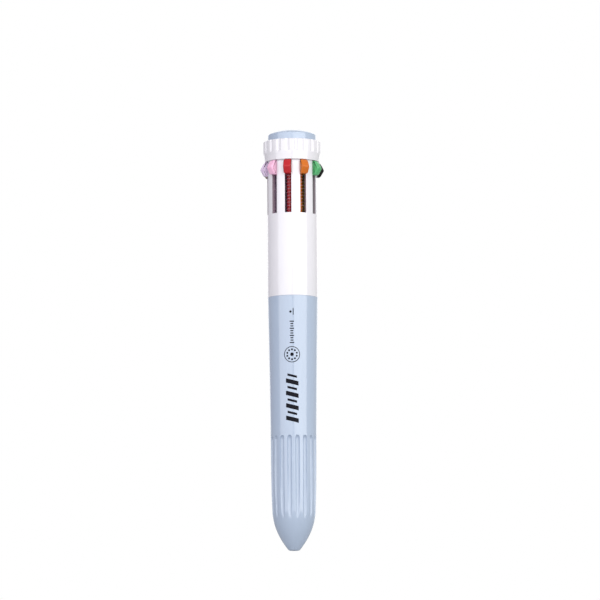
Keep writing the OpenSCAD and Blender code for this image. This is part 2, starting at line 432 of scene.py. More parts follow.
def moulded_plastic(name, color, shade, rough, ior=1.9, painted_shades=()):
    """Polished moulded plastic: faint mottling along the flow, a fine grain and slightly uneven gloss.
    Each shading function that it is given paints shade over part of the colour."""
    n = Nodes(name)
    mottle = n.noise(160, 4, 0.6, (1, 1, 0.35))
    tint = n.mix(n.ranged(mottle, 0.0, 1.0), color, shade)
    for shaded in painted_shades:
        tint = shaded(n, tint)
    gloss = n.ranged(n.noise(420, 3), rough - 0.02, rough + 0.03)
    waves = n.bump(n.noise(220, 2, 0.5, (1, 1, 0.3)), 0.05, 0.00003)
    grain = n.bump(n.noise(5200, 2), 0.04, 0.000006, waves)
    n.set(color=tint, rough=gloss, normal=grain, ior=ior)
    return n.material


def slot_foot_painted_shade(color):
    """Painted shade: a slide's parts below its button sit in the slot, so their colour is painted a little darker
    as the slot's shade.
    """
    low = (BUTTON_BOTTOM - 0.4) * MM
    # How bright the painted shade in the slot leaves the colour.
    dim = 0.9

    def shaded(n, tint):
        above = n.ranged(n.height(), 0.0, 1.0, low, low + 0.4 * MM)
        return n.mix(above, scaled(color, dim), tint)

    return shaded


def flank_painted_shade(color, turn, dim):
    """Painted shade: the two sides of the button at angle turn, which face its neighbours, are painted dim times
    as bright, as the shade between neighbouring buttons.
    """
    sideways = (-math.sin(turn), math.cos(turn), 0)
    half = BUTTON_W / 2

    def shaded(n, tint):
        off_centre = n.math("ABSOLUTE", n.vector("DOT_PRODUCT", n.coords, sideways, "Value"))
        # The painted shade covers the outer part of each side of the button.
        flank_shade_mask = n.ranged(off_centre, 0.0, 1.0, (half - 0.3) * MM, (half - 0.05) * MM)
        return n.mix(flank_shade_mask, tint, scaled(color, dim))

    return shaded


def slot_wall_painted_shade(n, tint):
    """Painted shade: the barrel inside its skin, which above SLOT_BOTTOM is seen only through the slots, is
    painted mauve grey as the shade inside the slots.
    """
    skin = BARREL_R - 0.06
    outward = n.vector("MULTIPLY", n.coords, (1, 1, 0), "Vector")
    radius = n.vector("LENGTH", outward, (0, 0, 0), "Value")
    outside = n.ranged(radius, 0.0, 1.0, (skin - 0.12) * MM, skin * MM)
    below = n.ranged(n.height(), 1.0, 0.0, (SLOT_BOTTOM - 0.5) * MM, SLOT_BOTTOM * MM)
    # The mauve grey is painted shade inside the slots, not the plastic's colour.
    return n.mix(n.math("MAXIMUM", outside, below), srgb(160, 148, 158), tint)


def metal(name, color, dark, rough, stretch):
    """Bright metal: fine lines along the turning or drawing direction, and faint tarnish."""
    n = Nodes(name)
    tarnish_and_reflection_mottle = n.ranged(n.noise(700, 4), 0.0, 0.8)
    lines = n.noise(9000, 2, 0.5, stretch)
    gloss = n.ranged(lines, rough - 0.06, rough + 0.1)
    n.set(color=n.mix(tarnish_and_reflection_mottle, color, dark), metal=1.0, rough=gloss, normal=n.bump(lines, 0.25, 0.00001))
    return n.material


def steel_with_painted_reflection(name, reflected_stem_colour):
    """Spring wire deep in a slot: part metal, with its colour a painted reflection of the stem that it mirrors,
    varying at random between a lighter and a darker tint.
    """
    n = Nodes(name)
    tarnish_and_reflection_mottle = n.ranged(n.noise(700, 4), 0.0, 0.6)
    # Both tints are painted reflections of the stem's colour.
    near = [0.7 * c + grey for c, grey in zip(reflected_stem_colour, (0.17, 0.14, 0.2))] + [1.0]
    far = [0.55 * c + grey for c, grey in zip(reflected_stem_colour, (0.06, 0.01, 0.06))] + [1.0]
    gloss = n.ranged(n.noise(9000, 2, 0.5, (6, 6, 6)), 0.2, 0.34)
    n.set(color=n.mix(tarnish_and_reflection_mottle, near, far), metal=0.2, ior=2.3, rough=gloss)
    return n.material


def pad_print(name, color):
    """Pad-printed ink: dense, slightly glossy, with small thin spots."""
    n = Nodes(name)
    thin = n.ranged(n.noise(2600, 3), 0.0, 0.25, 0.45, 0.75)
    gloss = n.ranged(n.noise(900), 0.4, 0.5)
    grain = n.bump(n.noise(3800, 2), 0.1, 0.00001)
    n.set(color=n.mix(thin, color, srgb(40, 42, 56)), rough=gloss, specular=0.12, normal=grain)
    return n.material


def ink_tube(name, ink, fill_z):
    """A milky tube with ink up to fill_z, a clear grease plug above it and an empty end."""
    fill_end, grease_end = fill_z * MM, (fill_z + 3.5) * MM
    clear = srgb(232, 232, 230)
    n = Nodes(name)
    height = n.math("ADD", n.height(), n.ranged(n.noise(900, 2), -0.2 * MM, 0.2 * MM))
    filled = n.ranged(height, 1.0, 0.0, fill_end - 0.2 * MM, fill_end + 0.2 * MM)
    grease = n.ranged(height, 0.55, 0.0, grease_end, grease_end + 0.5 * MM)
    streak = n.mix(n.ranged(n.noise(500, 3, 0.5, (1, 1, 0.15)), 0.0, 0.35), ink, clear)
    empty = n.mix(grease, clear, srgb(214, 205, 170))
    gloss = n.ranged(n.noise(600), 0.2, 0.3)
    waves = n.bump(n.noise(2400, 2, 0.5, (1, 1, 0.1)), 0.1, 0.00001)
    n.set(color=n.mix(filled, empty, streak), rough=gloss, sss=0.25, sss_scale=0.8 * MM, sss_radius=(1, 1, 1),
          coat=0.4, coat_rough=0.08, normal=waves)
    return n.material


BLUE = moulded_plastic("pastel_blue_plastic", srgb(174, 189, 209), srgb(171, 186, 207), 0.13)
# The barrel's white plastic, with painted shade inside its slots.
BARREL_WHITE = moulded_plastic(
    "white_plastic", srgb(233, 231, 235), srgb(230, 228, 233), 0.12, painted_shades=[slot_wall_painted_shade])
CROWN_WHITE = moulded_plastic("crown_plastic", srgb(230, 228, 232), srgb(227, 225, 230), 0.12)
# Dark plastic for the parts inside the barrel: partly their own colour, partly painted shade inside the barrel.
DARK = moulded_plastic("dark_plastic", srgb(40, 34, 38), srgb(32, 28, 32), 0.42, ior=1.5)
NICKEL = metal("nickel_tip", srgb(222, 216, 200), srgb(196, 186, 160), 0.2, (0.5, 0.5, 16))
BALL = metal("carbide_ball", srgb(200, 200, 204), srgb(170, 170, 176), 0.12, (3, 3, 3))
PRINT = pad_print("print_ink", srgb(14, 14, 22))

# Each button's colour, and the slightly darker one that mottles it.
BUTTON_COLOURS = {
    "red": ((190, 30, 38), (182, 26, 34)), "orange": ((210, 112, 22), (202, 104, 18)),
    "green": ((84, 178, 112), (76, 168, 104)), "black": ((14, 17, 14), (10, 12, 11)),
    "brown": ((96, 50, 28), (86, 44, 24)), "blue": ((20, 70, 150), (16, 62, 138)),
    "sky": ((70, 150, 202), (60, 140, 192)), "yellow": ((228, 196, 44), (220, 188, 36)),
    "lilac": ((217, 198, 224), (211, 190, 218)), "pink": ((249, 193, 222), (244, 186, 216)),
}
# How bright the painted shade leaves the sides of some buttons beside their faces, and the black one's weaker
# shine.
FLANK_PAINTED_SHADE = {"red": 0.42, "pink": 0.9}
BUTTON_IOR = {"black": 1.22}
INK_COLOURS = {
    "red": (176, 24, 34), "orange": (214, 96, 20), "green": (20, 122, 62), "black": (22, 22, 26),
    "brown": (84, 42, 22), "blue": (18, 44, 138), "sky": (36, 130, 200), "yellow": (226, 190, 20),
    "lilac": (112, 62, 150), "pink": (216, 70, 150),
}


def button_plastic(i, ink):
    """The plastic of slide i, with painted shade in its slot and at its sides."""
    main, shade = (srgb(*color) for color in BUTTON_COLOURS[ink])
    # Painted shade on the button's two sides.
    flank = flank_painted_shade(main, slot_turn(i), FLANK_PAINTED_SHADE.get(ink, 1.0))
    painted_shades = [slot_foot_painted_shade(main), flank]
    return moulded_plastic(f"{ink}_button", main, shade, 0.22, BUTTON_IOR.get(ink, 1.5), painted_shades)


def paint(obj, material, body):
    """Gives a piece its one material and the body that it rides on."""
    obj.data.materials.clear()
    obj.data.materials.append(material)
    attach(obj, body)


# ---------------------------------------------------------------------------------------- grip and nose

NOSE_H = 15.0
NOSE_END_R = 1.85
NOSE_TOP_R = 7.62
NOSE_POWER = 2.1
SWELL_FROM = 34.0
SWELL_TO = JOINT_Z - 0.6
SWELL_POWER = 1.35
GRIP_LOW_R = 7.95
GRIP_HIGH_R = BARREL_R - 0.04
GRIP_GROOVES = 18
GRIP_GROOVE_START = -80
GROOVE_TOP = 39.4


def nose_r(z):
    """The nose's radius: it widens fast from the point and runs upright at NOSE_H."""
    return NOSE_END_R + (NOSE_TOP_R - NOSE_END_R) * (1 - (1 - z / NOSE_H) ** NOSE_POWER)


def swell_r(z):
    """The grip's radius above the grooves, where it swells to meet the barrel."""
    share = (z - SWELL_FROM) / (SWELL_TO - SWELL_FROM)
    return GRIP_LOW_R + (GRIP_HIGH_R - GRIP_LOW_R) * share ** SWELL_POWER


GRIP_KNOTS = [(z, nose_r(z)) for z in (0.25, 0.8, 1.5, 2.5, 4, 5.5, 7, 8.5, 10, 11.5, 13)]
GRIP_KNOTS += [(NOSE_H, 7.61), (17.5, 7.73), (21, 7.83), (25, 7.9), (30, 7.94), (SWELL_FROM, GRIP_LOW_R)]
GRIP_KNOTS += [(float(z), swell_r(z)) for z in np.linspace(SWELL_FROM, SWELL_TO, 15)[1:]]
GRIP_KNOTS.append((JOINT_Z - 0.2, BARREL_R))


def grip_r(z):
    """The outer radius of the nose and grip, without its grooves."""
    return smooth_curve(GRIP_KNOTS, np.asarray(z, float))


def groove_columns(count, start, offsets):
    """Angles round the pen, in degrees, dense at the edges of count grooves."""
    pitch = 360 / count
    local = [-o for o in reversed(offsets) if o > 0] + offsets
    return np.array([start + i * pitch + o for i in range(count) for o in local + [pitch / 2]])


def groove_relief(count, start, floor_r, radius, low_z, high_z, soft, run_out=1.0):
    """Round grooves, as deep as floor_r, from low_z to high_z, with slightly soft edges.
    run_out stretches their round upper ends."""
    centre = floor_r + radius
    pitch = 2 * math.pi / count

    def relief(r, z, theta):
        off = (theta - math.radians(start) + pitch / 2) % pitch - pitch / 2
        along = max(0.0, (z - high_z) / run_out + radius, (low_z + radius) - z)
        t2 = (r * np.sin(off)) ** 2 + along ** 2
        cut = centre - np.sqrt(np.maximum(radius ** 2 - t2, 0.0)) + 2.4 * np.maximum(np.sqrt(t2) - radius, 0)
        return soft_min(np.full(len(theta), float(r)), cut, soft)

    return relief


def build_grip():
    """Nose, grooved grip and socket in one shell, with the nose hole at its foot."""
    j, s, b = JOINT_Z, SPIGOT_BOTTOM, BARREL_R
    z_low = [0.25, 0.4, 0.6, 0.8, 1.1, 1.5]
    z_nose = list(np.arange(2.0, 16.0, 0.3))
    z_body = list(np.arange(16.0, 37.8, 0.85))
    z_groove_end = list(np.arange(37.9, 40.0, 0.1))
    z_top = list(np.arange(40.4, 87.5, 1.1))
    hole_lip = [(1.35, 0.16), (1.37, 0.06), (1.44, 0.01), (1.52, 0.0)]
    point = [(1.63, 0.0), (1.74, 0.02), (1.81, 0.09)]
    outer = [(float(grip_r(z)), float(z), True) for z in z_low + z_nose + z_body + z_groove_end + z_top]
    rim = [(b, j - 0.22), (b, j - 0.13), (b - 0.025, j - 0.06), (b - 0.07, j - 0.015), (b - 0.13, j)]
    socket = [(7.78, j), (7.69, j - 0.03), (7.65, j - 0.12), (7.65, s - 0.2), (7.62, s - 0.6), (7.0, s - 1.6)]
    bore = [(6.93, s - 1.9), (6.5, 52.0), (6.5, 40.0), (6.5, 22.0), (6.48, 14.0)]
    bore += [(min(6.4, nose_r(z - 0.9) - 0.45), z) for z in (12, 10.5, 9, 7.5, 6, 4.5, 3, 1.8, 0.95)]
    nose_hole = [(1.37, 0.55), (1.35, 0.45)]
    profile = hole_lip + point + outer + rim + socket + bore + nose_hole
    offsets = [0, 1.2, 2.4, 3.5, 4.3, 4.9, 5.3, 5.6, 5.85, 6.1, 6.35, 6.7, 7.3, 8.4]
    columns = groove_columns(GRIP_GROOVES, GRIP_GROOVE_START, offsets)
    relief = groove_relief(GRIP_GROOVES, GRIP_GROOVE_START, floor_r=7.2, radius=0.8, low_z=-5.0,
                           high_z=GROOVE_TOP, soft=0.05, run_out=1.7)
    grip = lathe("grip_shell", profile, relief=relief, angles=columns, sharp=50)
    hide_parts("grip_barrel")
    paint(grip, BLUE, "grip")


# ---------------------------------------------------------------------------------------- upper barrel


def build_upper_barrel():
    """The white tube: a spigot in the grip, the plain band, the slots and the neck under the crown ring."""
    j, s, b = JOINT_Z, SPIGOT_BOTTOM, BARREL_R
    spigot = [(6.95, s), (BORE_R, s), (7.6, s + 0.5), (7.6, j)]
    foot = [(b - 0.18, j), (b - 0.08, j + 0.02), (b - 0.02, j + 0.08), (b, j + 0.18)]
    band = [(b, DISC_TOP), (b, SLOT_BOTTOM - 0.2), (b - 0.04, CROWN_BOTTOM)]
    neck = [(8.3, CROWN_BOTTOM), (8.3, NECK_TOP), (BORE_R, NECK_TOP)]
    disc_seat = [(BORE_R, 98.0), (6.9, 98.0), (6.9, 96.6), (BORE_R, 96.2)]
    spigot_bore = [(BORE_R, j + 1), (6.95, j + 0.4)]
    barrel = lathe("slotted_barrel", spigot + foot + band + neck + disc_seat + spigot_bore, turns=360)
    cutters = []
    for i in range(len(INKS)):
        cutter = box_object(f"cut{i}", (SLOT_IN, -SLOT_W / 2, SLOT_BOTTOM), (12, SLOT_W / 2, NECK_TOP + 2))
        cutter.data.transform(Matrix.Rotation(slot_turn(i), 4, "Z"))
        cutters.append(cutter)
    boolean(barrel, join("slots", cutters), "DIFFERENCE")
    add_bevel(barrel, 0.12, 3, 40)
    baked(barrel)
    smooth_but_sharp(barrel, 32)
    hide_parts("upper_barrel")
    paint(barrel, BARREL_WHITE, "barrel")


# ---------------------------------------------------------------------------------------- crown ring and cap

CROWN_FLUTES = 20
CROWN_FOOT_R = 9.55
CROWN_R = 10.0
CAP_R = 8.4
DOME_H = 1.6


def build_crown():
    """The fluted ring round the cap, flaring from its foot, with the hole that takes the cap's plug."""
    low, top, neck = CROWN_BOTTOM, CROWN_TOP, NECK_TOP
    foot_round = 0.13
    foot = [(8.38, low + 0.02), (8.45, low), (CROWN_FOOT_R - 0.25, low)]
    for a in np.radians((15, 35, 55, 75, 90)):
        foot.append((CROWN_FOOT_R - foot_round * (1 - math.sin(a)), low + foot_round * (1 - math.cos(a))))
    heights = list(np.arange(low + 0.3, low + 2.0, 0.25)) + list(np.arange(low + 2.05, low + 3.7, 0.08))
    heights += list(np.arange(low + 3.8, top - 0.45, 0.35))
    flare = [(low + 0.2, CROWN_FOOT_R), (low + 1.4, 9.7), (low + 2.6, 9.88), (low + 3.6, 9.99)]
    flare.append((top - 0.4, CROWN_R))
    wall = [(float(smooth_curve(flare, z)), float(z), True) for z in heights]
    wall += [(r, z, True) for r, z in arc(CROWN_R - 0.4, top - 0.4, 0.4, 0, 90, 9)]
    shelf = [(9.2, top, True), (8.85, top), (8.4, top), (7.35, top)]
    plug_hole = [(7.27, top - 0.03), (7.25, top - 0.1), (7.25, neck + 0.12)]
    neck_seat = [(7.3, neck + 0.05), (8.3, neck + 0.05), (8.35, neck), (8.35, low + 0.1)]
    profile = foot + wall + shelf + plug_hole + neck_seat
    offsets = [0, 1.0, 2.0, 2.8, 3.4, 3.8, 4.1, 4.35, 4.6, 4.85, 5.2, 5.8, 6.8, 7.9]
    columns = groove_columns(CROWN_FLUTES, FIRST_SLOT, offsets)
    relief = groove_relief(CROWN_FLUTES, FIRST_SLOT, floor_r=CROWN_FOOT_R, radius=0.9, low_z=low + 2.5,
                           high_z=top + 5, soft=0.04)
    ring = lathe("crown", profile, relief=relief, angles=columns, sharp=50)
    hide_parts("crown_ring")
    paint(ring, CROWN_WHITE, "barrel")


def build_cap():
    """The domed cap on its hollow plug."""
    low, dome_low = CROWN_TOP, PEN_TOP - DOME_H
    knots = [(r, PEN_TOP - DOME_H * (r / CAP_R) ** 3) for r in (0, 1.5, 3, 4.5, 5.8, 6.8, 7.5, 7.9, 8.15)]
    dome = [(r, float(smooth_curve(knots, r))) for r in np.linspace(0, 8.1, 36)]
    dome_edge = [(8.22, dome_low + 0.07), (8.31, dome_low - 0.02), (8.36, dome_low - 0.14)]
    side = [(8.39, dome_low - 0.28), (CAP_R, dome_low - 0.45), (CAP_R, low + 0.25)]
    foot = [(8.39, low + 0.13), (8.34, low + 0.04), (8.25, low)]
    plug = [(7.2, low), (7.2, low - 4.0), (6.9, low - 4.4), (6.2, low - 4.4)]
    hollow = [(6.2, dome_low - 1.3), (4.6, PEN_TOP - 1.45), (0, PEN_TOP - 1.3)]
    cap = lathe("cap", dome + dome_edge + side + foot + plug + hollow, turns=192, sharp=50)
    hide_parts("end_cap")
    paint(cap, BLUE, "barrel")


# ---------------------------------------------------------------------------------------- slides


def rounded_slab(name, outline, width, radius, steps=5):
    """A slab, width thick along Y, of a closed clockwise outline in (x, z), with its long edges rounded."""
    points = np.array(outline, float)[::-1]
    tangent = np.roll(points, -1, 0) - np.roll(points, 1, 0)
    tangent /= np.linalg.norm(tangent, axis=1)[:, None]
    inward = np.stack([-tangent[:, 1], tangent[:, 0]], 1)
    turn = np.linspace(0, math.pi / 2, steps + 1)
    half = [(width / 2 - radius + radius * math.sin(a), radius * (1 - math.cos(a))) for a in turn]
    rows = []
    for y, inset in [(-y, inset) for y, inset in reversed(half)] + half:
        row = points + inward * inset
        rows.append(np.stack([row[:, 0], np.full(len(row), y), row[:, 1]], 1))
    faces = grid_faces(len(rows), len(points)) + end_faces(len(rows), len(points))
    return make_object(name, np.concatenate(rows), faces, sharp=60)


def dense(points, step):
    """The same closed outline with extra points, no further apart than step."""
    out = []
    for a, b in zip(points, points[1:] + points[:1]):
        n = max(1, int(math.ceil(math.dist(a, b) / step)))
        out += [(a[0] + (b[0] - a[0]) * i / n, a[1] + (b[1] - a[1]) * i / n) for i in range(n)]
    return out


def round_corners(points, radius, steps=4):
    """A closed outline with each corner replaced by a small arc."""
    out = []
    count = len(points)
    for i in range(count):
        p = np.array(points[i], float)
        a = np.array(points[i - 1], float) - p
        b = np.array(points[(i + 1) % count], float) - p
        la, lb = np.linalg.norm(a), np.linalg.norm(b)
        r = min(radius, la * 0.45, lb * 0.45)
        start, end = p + a / la * r, p + b / lb * r
        for t in np.linspace(0, 1, steps + 1):
            out.append(tuple((1 - t) ** 2 * start + 2 * t * (1 - t) * p + t * t * end))
    return out


def build_slide_mesh():
    """One slide in the local +X direction: the button, its neck in the slot, the fin inside and the stem."""
    rise, reach = SLIDE_TOP - CREST_Z, REACH - HEAD_IN
    slope = [(0, 1), (0.31, 0.98), (0.49, 0.83), (0.69, 0.57), (0.87, 0.28), (0.97, 0.09), (1, 0)]
    corners = [(HEAD_IN, BUTTON_BOTTOM)] + [(HEAD_IN + u * reach, CREST_Z + v * rise) for u, v in slope]
    corners += [(REACH - 0.12, CREST_Z - 0.4), (HEAD_IN + 1.0, BUTTON_BOTTOM)]
    body = rounded_slab("button", dense(round_corners(corners, 0.5, 6), 0.3), BUTTON_W, 0.6)
    top, low = SLIDE_TOP - 0.05, BUTTON_BOTTOM + 0.02
    neck_corners = [(SLOT_IN, low), (SLOT_IN, top), (9.2, top), (9.2, low)]
    neck = rounded_slab("neck", round_corners(neck_corners, 0.2), NECK_W, 0.15, 3)
    fin_corners = [(1.9, low + 1.6), (1.9, top - 1.4), (2.8, top - 0.03), (5.4, top - 0.03)]
    fin_corners += [(5.4, low + 0.03), (3.3, low + 0.03)]
    fin = rounded_slab("fin", round_corners(fin_corners, 0.2), 0.8, 0.15, 3)
    pin = [(0, 94.9), (0.42, 94.9), (0.52, 95.0), (0.55, 95.1), (0.55, 97.5)]
    rod = [(0.81, 97.52), (0.85, 97.6), (0.85, low + 0.8), (0, low + 0.8)]
    stem = lathe("stem", pin + rod, turns=40, sharp=40)
    to_stem_ring(stem)
    for part in (neck, fin, stem):
        boolean(body, part, "UNION")
    smooth_but_sharp(body, 38)
    return body


def build_slides():
    """Ten slides, each on its own body."""
    source = build_slide_mesh()
    for i, ink in enumerate(INKS):
        slide = copy_turned(source, f"button_{ink}", slot_turn(i))
        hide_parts(f"slide_{ink}")
        paint(slide, button_plastic(i, ink), f"slide_{ink}")
    remove([source])


# ---------------------------------------------------------------------------------------- springs

WIRE_R = 0.15
COIL_R = 1.14
COIL_TURNS = 27.0
TURN_STEPS = 22
WIRE_SIDES = 8


def coil_heights(position):
    """The wire's height at each position, in turns. It climbs slowly in the end turns and evenly between."""
    low, length = DISC_TOP, BUTTON_BOTTOM - DISC_TOP
    closed_climb = 0.8 * 2 * WIRE_R / (length / COIL_TURNS)
    from_end = np.minimum(position, COIL_TURNS - position)
    climb = np.where(from_end < 1.1, closed_climb, 1.0)
    z = np.concatenate([[0], np.cumsum((climb[1:] + climb[:-1]) / 2)])
    return low + WIRE_R + (length - 2 * WIRE_R) * z / z[-1]


def build_spring_mesh():
    """Round wire wound from the guide disc up to a button, with a closed turn at each end."""
    steps = int(COIL_TURNS * TURN_STEPS)
    position = np.arange(steps + 1) / TURN_STEPS
    z = coil_heights(position)
    step_length = 2 * math.pi * COIL_R / TURN_STEPS
    verts = []
    for k, a in enumerate(2 * math.pi * position):
        out = np.array([math.cos(a), math.sin(a), 0])
        rise = (z[min(k + 1, steps)] - z[max(k - 1, 0)]) / 2 / step_length
        along = np.array([-math.sin(a), math.cos(a), rise])
        along /= np.linalg.norm(along)
        up = -np.cross(out, along)
        centre = out * COIL_R + np.array([0, 0, z[k]])
        for b in np.arange(WIRE_SIDES) * 2 * math.pi / WIRE_SIDES:
            verts.append(centre + WIRE_R * (math.cos(b) * out + math.sin(b) * up))
    faces = grid_faces(steps + 1, WIRE_SIDES) + end_faces(steps + 1, WIRE_SIDES)
    spring = make_object("spring", verts, faces, sharp=70)
    to_stem_ring(spring)
    return spring


def build_springs():
    """Ten springs, one under each slide, from the guide disc up to its button."""
    source = build_spring_mesh()
    for i, ink in enumerate(INKS):
        spring = copy_turned(source, f"coil_{ink}", slot_turn(i))
        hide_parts(f"spring_{ink}")
        # Each spring's colour is a painted reflection of its slide's stem.
        steel = steel_with_painted_reflection(f"spring_steel_{ink}", srgb(*BUTTON_COLOURS[ink][0]))
        paint(spring, steel, "barrel")
        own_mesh(spring)
    remove([source])


# ---------------------------------------------------------------------------------------- refills

TUBE_R = 0.95
TUBE_BORE_R = 0.65
TUBE_TOP = 1.2
TIP_L = 9.0
BALL_R = 0.345


def hung(obj):
    """Moves a mesh, drawn down from the origin, to where a refill hangs in the local +X direction."""
    place = Matrix.Translation((STEM_RING * MM, 0, PIVOT_Z * MM)) @ Matrix.Rotation(LEAN, 4, "Y")
    obj.data.transform(place)
    return obj


def build_tube_mesh():
    """An ink tube, pushed on its stem, with many rings along it."""
    end = TIP_L - REFILL_L
    heights = [1.1] + list(np.linspace(0.6, end + 0.1, 76))
    outside = [(0.88, TUBE_TOP), (0.93, 1.17)] + [(TUBE_R, z) for z in heights]
    outside += [(0.93, end + 0.03), (0.88, end)]
    inside = [(TUBE_BORE_R, end)] + [(TUBE_BORE_R, z) for z in np.linspace(end + 0.2, 1.0, 40)]
    inside.append((TUBE_BORE_R, TUBE_TOP))
    return hung(lathe("tube", outside + inside, turns=32, sharp=50))


def build_tip_mesh():
    """A turned writing point: cone, shoulder and ringed barrel, with a plug that sits in the tube."""
    end = -REFILL_L
    mouth = end + 0.13
    lip = [(0.16, mouth + 0.1), (0.3, mouth + 0.02), (0.34, mouth), (0.38, mouth + 0.03)]
    cone = [(0.42, mouth + 0.12), (0.84, mouth + 2.95), (0.86, mouth + 3.05), (0.86, mouth + 4.3)]
    shoulder = [(0.87, mouth + 4.42), (1.03, mouth + 5.55), (1.05, mouth + 5.68), (1.05, mouth + 6.6)]
    ring_groove = [(1.01, mouth + 6.66), (1.01, mouth + 6.86), (1.05, mouth + 6.92)]
    back = [(1.05, end + 8.9), (1.02, end + 8.97), (0.97, end + TIP_L), (0.64, end + TIP_L)]
    plug = [(0.64, end + 12.4), (0.35, end + 12.6)]
    bore = [(0.35, mouth + 3.4), (0.16, mouth + 2.8)]
    return hung(lathe("tip", lip + cone + shoulder + ring_groove + back + plug + bore, turns=48, sharp=28))


def build_ball_mesh():
    """The ball at the end of a writing point."""
    end = -REFILL_L
    turns = np.linspace(0.12, math.pi - 0.12, 16)
    side = [(BALL_R * math.sin(a), end + 0.35 - BALL_R * math.cos(a)) for a in turns]
    return hung(lathe("ball", [(0, end)] + side + [(0, end + 0.695)], turns=28))


def build_refills():
    """Ten refills, each a tube that hangs below its slide, a writing point and a ball."""
    kinds = {"tube": build_tube_mesh(), "point": build_tip_mesh(), "ball": build_ball_mesh()}
    for i, ink in enumerate(INKS):
        turn = slot_turn(i)
        body = f"refill_{ink}"
        tube, tip, ball = (copy_turned(source, f"{kind}_{ink}", turn) for kind, source in kinds.items())
        ink_level = 78.0 - (i * 7 % 5) * 2.5
        tube.data.materials.append(ink_tube(f"{ink}_tube", srgb(*INK_COLOURS[ink]), ink_level))
        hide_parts(f"refill_tube_{ink}")
        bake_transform(tube)
        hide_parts(f"refill_tip_{ink}")
        paint(tip, NICKEL, body)
        paint(ball, BALL, body)
    remove(kinds.values())


# ---------------------------------------------------------------------------------------- print on the grip

PRINT_TURN = -92.5
PRINT_LIFT = 0.018
PRINT_SINK = 0.03


class Print:
    """Thin printed shapes, drawn flat as (across, height) and wrapped on the grip."""

    def __init__(self):
        self.verts, self.faces = [], []

    def patch(self, grid, wrap=False):
        """A thin closed shell over a grid of points. wrap joins the grid's last column to its first."""
        rows, cols = grid.shape[:2]
        across, height = grid[..., 0].ravel(), grid[..., 1].ravel()
        base = grip_r(height)
        turn = np.radians(PRINT_TURN) + across / base
        start = len(self.verts)
        for r in (base + PRINT_LIFT, base - PRINT_SINK):
            self.verts += list(zip(r * np.cos(turn), r * np.sin(turn), height))
        count = rows * cols
        top = grid_faces(rows, cols, wrap_cols=wrap, start=start)
        self.faces += top
        self.faces += [tuple(reversed([v + count for v in f])) for f in top]
        edges = [[i * cols + j for j in range(cols)] + ([i * cols] if wrap else []) for i in (0, rows - 1)]
        if not wrap:
            edges += [[i * cols + j for i in range(rows)] for j in (0, cols - 1)]
        for line in edges:
            for a, b in zip(line, line[1:]):
                self.faces.append((start + a, start + b, start + b + count, start + a + count))

    def quad(self, corners, n, m):
        """A four-sided shape from its corners, in order, with n by m faces."""
        p = np.array(corners, float)
        u, v = np.meshgrid(np.linspace(0, 1, n + 1), np.linspace(0, 1, m + 1), indexing="ij")
        u, v = u[..., None], v[..., None]
        self.patch((1 - u) * (1 - v) * p[0] + u * (1 - v) * p[1] + u * v * p[2] + (1 - u) * v * p[3])

    def disc(self, x, z, radius, n=6):
        """A filled circle, from a square grid of n by n faces."""
        u, v = np.meshgrid(np.linspace(-1, 1, n + 1), np.linspace(-1, 1, n + 1), indexing="ij")
        across, up = u * np.sqrt(1 - v * v / 2), v * np.sqrt(1 - u * u / 2)
        self.patch(np.stack([x + radius * across, z + radius * up], -1))

    def ring(self, x, z, inner, outer, n=72):
        """A circle's outline."""
        a = np.linspace(0, 2 * math.pi, n, endpoint=False)
        radii = (inner, (inner + outer) / 2, outer)
        rows = [np.stack([x + r * np.cos(a), z + r * np.sin(a)], -1) for r in radii]
        self.patch(np.array(rows), wrap=True)

    def finish(self, name):
        """Makes one piece of all the shapes."""
        obj = make_object(name, self.verts, self.faces, sharp=40)
        paint(obj, PRINT, "grip")


def build_bars():
    """Slanted bars, wide and narrow in turn."""
    bars = Print()
    slope = 0.25
    first, pitch = 44.0, 4.3
    for i in range(4):
        for z, w, reach in ((first + pitch * i, 1.5, 2.2), (first + 2.5 + pitch * i, 0.8, 1.65)):
            slant = slope * reach
            left = [(-reach, z + slant), (-reach, z + w + slant)]
            right = [(reach, z + w - slant), (reach, z - slant)]
            bars.quad(left + right, 4, 14)
    bars.finish("print_bars")


def build_badge():
    """A thin ring round ten dots and a larger one."""
    badge = Print()
    z, dot_ring = 67.2, 1.72
    badge.ring(0, z, 2.55, 2.8)
    for i in range(10):
        a = math.radians(36 * i + 18)
        badge.disc(dot_ring * math.cos(a), z + dot_ring * math.sin(a), 0.34)
    badge.disc(0, z, 0.62, 10)
    badge.finish("print_badge")


def build_ticks():
    """Ten short strokes, every third one longer."""
    ticks = Print()
    w = 0.36
    for i in range(10):
        z = 71.1 + i * 0.82
        reach = 0.75 if i % 3 == 0 else 0.5
        ticks.quad([(-reach, z), (-reach, z + w), (reach, z + w), (reach, z)], 2, 5)
    ticks.finish("print_ticks")


def build_size_mark():
    """A dot and a short line."""
    mark = Print()
    mark.disc(-0.45, 82.0, 0.4)
    mark.quad([(0.35, 80.9), (0.35, 83.3), (0.62, 83.3), (0.62, 80.9)], 6, 2)
    mark.finish("print_size")


# ---------------------------------------------------------------------------------------- inside parts


def dress_cad_nodes():
    """The guide disc and the release core keep their CAD shapes, with small bevels; they are dark partly as the
    mechanism's own colour and partly as painted shade inside the barrel.
    """
    for name in ("guide_disc", "release_core"):
        node = frame["nodes"][name]
        node.data.materials.clear()
        node.data.materials.append(DARK)
        add_bevel(node, 0.08, 2, 40)


# ---------------------------------------------------------------------------------------- stage

FLOOR_Z = -100.0
FLOOR_HALF = 2500
FADE_FROM, FADE_TO = 0.4, 1.7


def softbox(name, azimuth, height, distance, width, tall, power, color=(1, 1, 1)):
    """An upright rectangular light that faces the pen. Azimuth 0 is in front, positive to the right."""
    light = bpy.data.lights.new(name, "AREA")
    light.shape, light.size, light.size_y = "RECTANGLE", width, tall
    light.energy, light.color = power, color
    obj = linked(name, light)
    a = math.radians(azimuth)
    obj.location = Vector((distance * math.sin(a), -distance * math.cos(a), height))
    obj.rotation_euler = (Vector((0, 0, height)) - obj.location).to_track_quat("-Z", "Y").to_euler()
    obj.visible_camera = False


